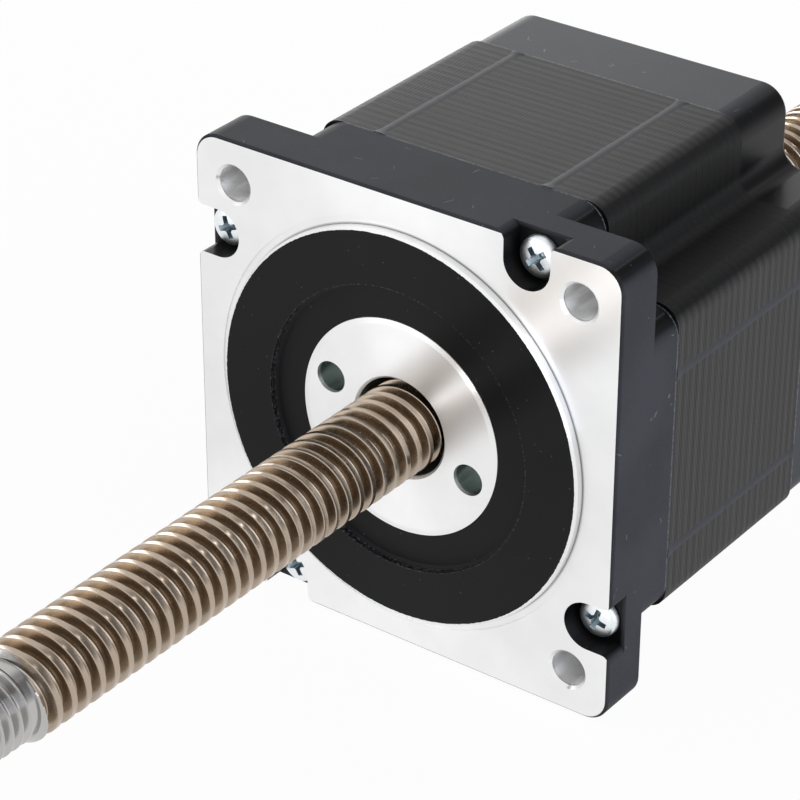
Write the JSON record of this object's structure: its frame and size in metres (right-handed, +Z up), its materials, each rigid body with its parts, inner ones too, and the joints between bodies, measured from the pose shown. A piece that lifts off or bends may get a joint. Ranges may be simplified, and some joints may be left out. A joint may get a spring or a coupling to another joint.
{
  "type": "non-captive linear stepper motor",
  "caption": "Square flanged hybrid stepper motor whose turning nut drives a long lead screw straight through the hollow rotor, out of both ends.",
  "frame": {"origin": "centre of the mounting face, on the motor's axis", "axes": "+Y along the motor's axis into the body, +Z up, so the lead screw's journal points along -Y"},
  "size_m": [0.0874, 0.27, 0.086],
  "materials": {
    "black_paint": "satin black coating on the castings, bare machined aluminium on the mounting face",
    "lamination": "satin black over laminated steel",
    "core_steel": "ground laminated steel",
    "magnet": "nickel grey",
    "copper_wire": "enamelled copper",
    "insulator": "moulded, natural white",
    "collar_aluminium": "turned bare",
    "bearing_steel": "ground and polished",
    "cage_plastic": "moulded",
    "shaft_steel": "turned steel",
    "nut_bronze": "machined bronze",
    "zinc_screw": "bright zinc plate",
    "screw_steel": "rolled thread, bright crests and dark oiled grooves",
    "spring_steel": "spring temper",
    "rubber": "moulded, matt"
  },
  "bodies": {
    "housing": {"front_end_bell": "black_paint", "stator_stack": "lamination", "rear_end_bell": "black_paint", "housing_screws": "zinc_screw", "front_insulator": "insulator", "rear_insulator": "insulator", "phase_a_coils": "copper_wire", "phase_b_coils": "copper_wire", "front_bearing_outer_ring": "bearing_steel", "front_bearing_shields": "bearing_steel", "rear_bearing_outer_ring": "bearing_steel", "rear_bearing_shields": "bearing_steel", "wave_washer": "spring_steel", "lead_grommet": "rubber"},
    "rotor": {"rotor_sleeve": "shaft_steel", "front_rotor_core": "core_steel", "rear_rotor_core": "core_steel", "rotor_magnet": "magnet", "rotor_spacer": "shaft_steel", "nut_collar": "collar_aluminium", "drive_nut": "nut_bronze", "front_bearing_inner_ring": "bearing_steel", "rear_bearing_inner_ring": "bearing_steel"},
    "front_ball_set": {"front_bearing_balls": "bearing_steel", "front_bearing_cage": "cage_plastic"},
    "rear_ball_set": {"rear_bearing_balls": "bearing_steel", "rear_bearing_cage": "cage_plastic"},
    "lead_screw": {"lead_screw": "screw_steel"}
  },
  "joints": [
    {"name": "rotor_turn", "type": "hinge", "parent": "housing", "child": "rotor", "pos_m": [0, 0.0375, 0], "axis": [0, 1, 0], "range_deg": [-5040, 3960]},
    {"name": "screw_travel", "type": "slide", "parent": "housing", "child": "lead_screw", "axis": [0, -1, 0], "range_m": [-0.089, 0.06995]},
    {"name": "front_balls_roll", "type": "hinge", "parent": "housing", "child": "front_ball_set", "pos_m": [0, 0.0105, 0], "axis": [0, 1, 0], "range_deg": [-2161, 1699]},
    {"name": "rear_balls_roll", "type": "hinge", "parent": "housing", "child": "rear_ball_set", "pos_m": [0, 0.0645, 0], "axis": [0, 1, 0], "range_deg": [-2161, 1699]}
  ],
  "couplings": [
    {"joint": "screw_travel", "follows": "rotor_turn", "m_per_rad": 0.0010106},
    {"joint": "front_balls_roll", "follows": "rotor_turn", "ratio": 0.42857},
    {"joint": "rear_balls_roll", "follows": "rotor_turn", "ratio": 0.42857}
  ]
}
